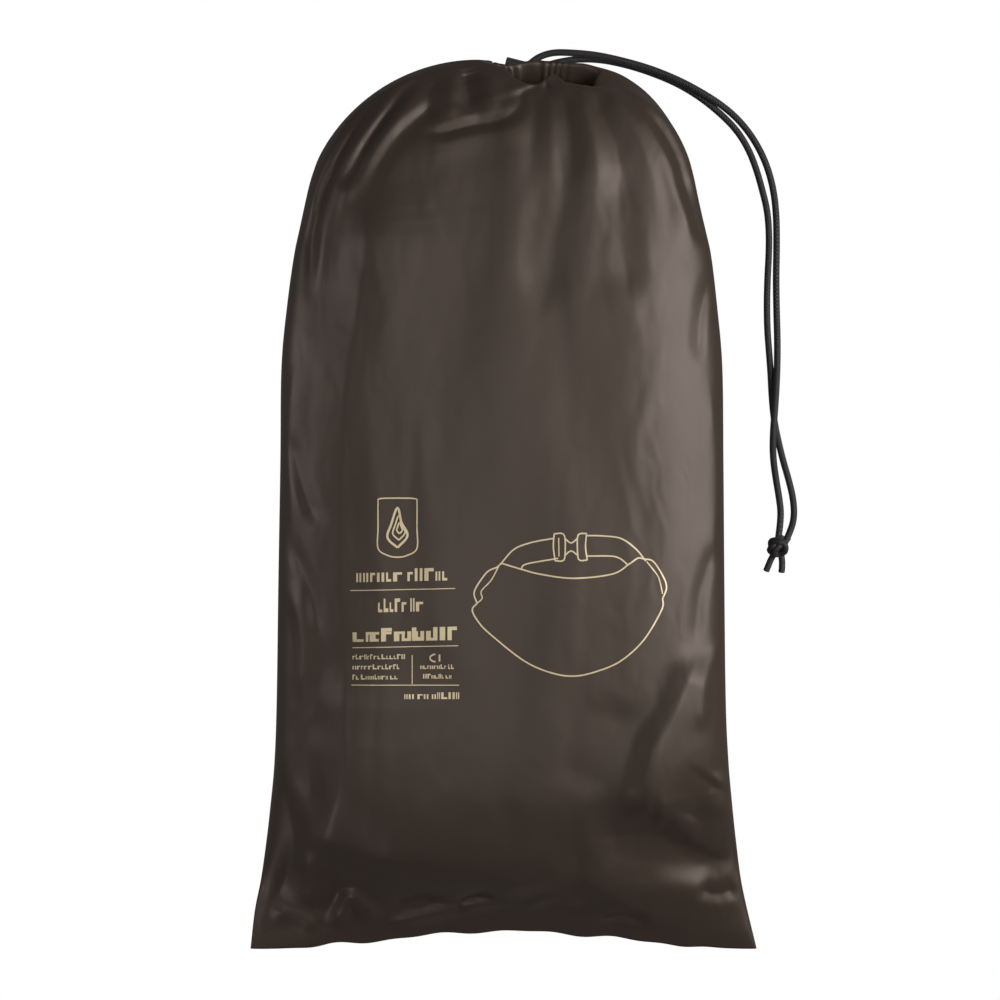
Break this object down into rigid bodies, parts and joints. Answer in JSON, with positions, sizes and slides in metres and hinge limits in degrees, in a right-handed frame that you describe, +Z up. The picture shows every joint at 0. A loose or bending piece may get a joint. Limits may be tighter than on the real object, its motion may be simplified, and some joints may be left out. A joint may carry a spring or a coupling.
{
  "type": "drawstring bag with hand warmer muff",
  "caption": "Satin drawstring storage bag lying on its back, mouth gathered by a double cord with a sprung lock and an end knot, packed with a heated hand warmer muff.",
  "frame": {"origin": "on the surface the bag lies on, under the middle of the fabric bag; the free cords beside it don't count", "axes": "+X to the bag's right seen from its printed front, +Y from the bottom seam to the gathered mouth, +Z up out of the printed front"},
  "size_m": [0.3217, 0.5297, 0.0781],
  "materials": {
    "satin": "dark brown satin weave",
    "foil_print": "gold foil print on the front panel",
    "cord": "black round braid",
    "lock_plastic": "moulded, fine texture",
    "spring_steel": "bright wire",
    "shell_cloth": "brushed shell cloth",
    "wadding": "polyester wadding",
    "lining_cloth": "fleece",
    "heater_film": "film with carbon tracks",
    "cuff_knit": "ribbed knit",
    "webbing": "woven tape",
    "switch_rubber": "satin rubber",
    "lead_jacket": "matt jacket"
  },
  "bodies": {
    "bag": {"front_panel": "satin", "back_panel": "satin", "side_seam_left": "satin", "side_seam_right": "satin", "bottom_seam": "satin", "cord_channel_front": "satin", "cord_channel_back": "satin", "cord_loop_front": "cord", "cord_loop_back": "cord", "cord_strand_outer": "cord", "cord_strand_inner": "cord", "end_knot": "cord", "muff_shell": "shell_cloth", "muff_wadding": "wadding", "muff_lining": "lining_cloth", "heating_pad": "heater_film", "cuff_left": "cuff_knit", "cuff_right": "cuff_knit", "waist_belt_left": "webbing", "waist_belt_right": "webbing", "buckle_female": "lock_plastic", "buckle_male": "lock_plastic", "switch_housing": "switch_rubber", "power_pocket": "shell_cloth", "pocket_zip": "webbing", "heater_lead": "lead_jacket", "lead_plug": "lead_jacket"},
    "cord_lock": {"lock_body": "lock_plastic", "lock_spring": "spring_steel"},
    "lock_button": {"lock_button": "lock_plastic"},
    "zip_slider": {"zip_slider": "spring_steel"},
    "switch_button": {"switch_button": "switch_rubber"}
  },
  "joints": [
    {"name": "lock_slide", "type": "slide", "parent": "bag", "child": "cord_lock", "axis": [0.0626, 0.2511, -0.9659], "range_m": [0, 0.0025]},
    {"name": "lock_press", "type": "slide", "parent": "cord_lock", "child": "lock_button", "axis": [-0.9703, 0.2419, 0], "range_m": [0, 0.0035], "stiffness_N_per_m": 400, "springref_m": -0.002, "deforming": ["lock_spring"]},
    {"name": "zip_open", "type": "slide", "parent": "bag", "child": "zip_slider", "axis": [1, 0, 0], "range_m": [0, 0.075]},
    {"name": "switch_press", "type": "slide", "parent": "bag", "child": "switch_button", "axis": [0, 0, -1], "range_m": [0, 0.0008], "stiffness_N_per_m": 1500, "springref_m": -0.0005}
  ]
}
